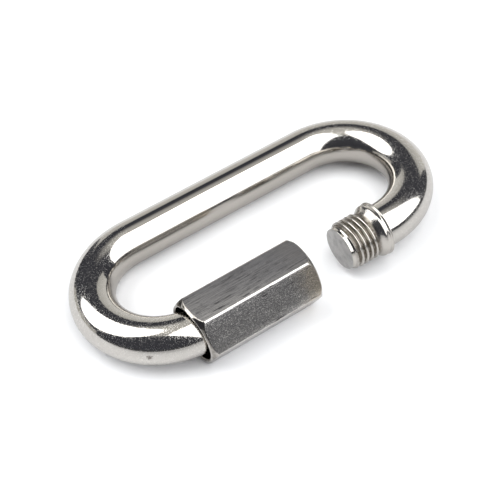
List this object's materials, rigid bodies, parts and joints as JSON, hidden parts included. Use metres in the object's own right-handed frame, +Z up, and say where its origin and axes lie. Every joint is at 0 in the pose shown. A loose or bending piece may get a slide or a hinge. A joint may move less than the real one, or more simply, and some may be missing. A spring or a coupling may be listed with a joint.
{
  "type": "quick link",
  "caption": "Oval screw-lock quick link of polished round bar, with a long hex sleeve nut that screws across the gap to close the loop. Shown open.",
  "frame": {"origin": "centre of the footprint, on the surface that the link lies on", "axes": "+X along the link's long axis, towards the short threaded tip; +Y from the nut towards the plain arm; +Z up from the surface"},
  "size_m": [0.07, 0.0352, 0.011],
  "materials": {
    "polished_bar": "mirror-polished stainless steel bar with bright rolled threads and a dull sawn tip",
    "drawn_hex": "drawn stainless hex bar with fine lengthwise lines and polished corners and ends"
  },
  "bodies": {
    "link": {"link_body": "polished_bar"},
    "nut": {"sleeve_nut": "drawn_hex"}
  },
  "joints": [
    {"name": "nut_travel", "type": "slide", "parent": "link", "child": "nut", "axis": [1, 0, 0], "range_m": [0, 0.013]}
  ]
}
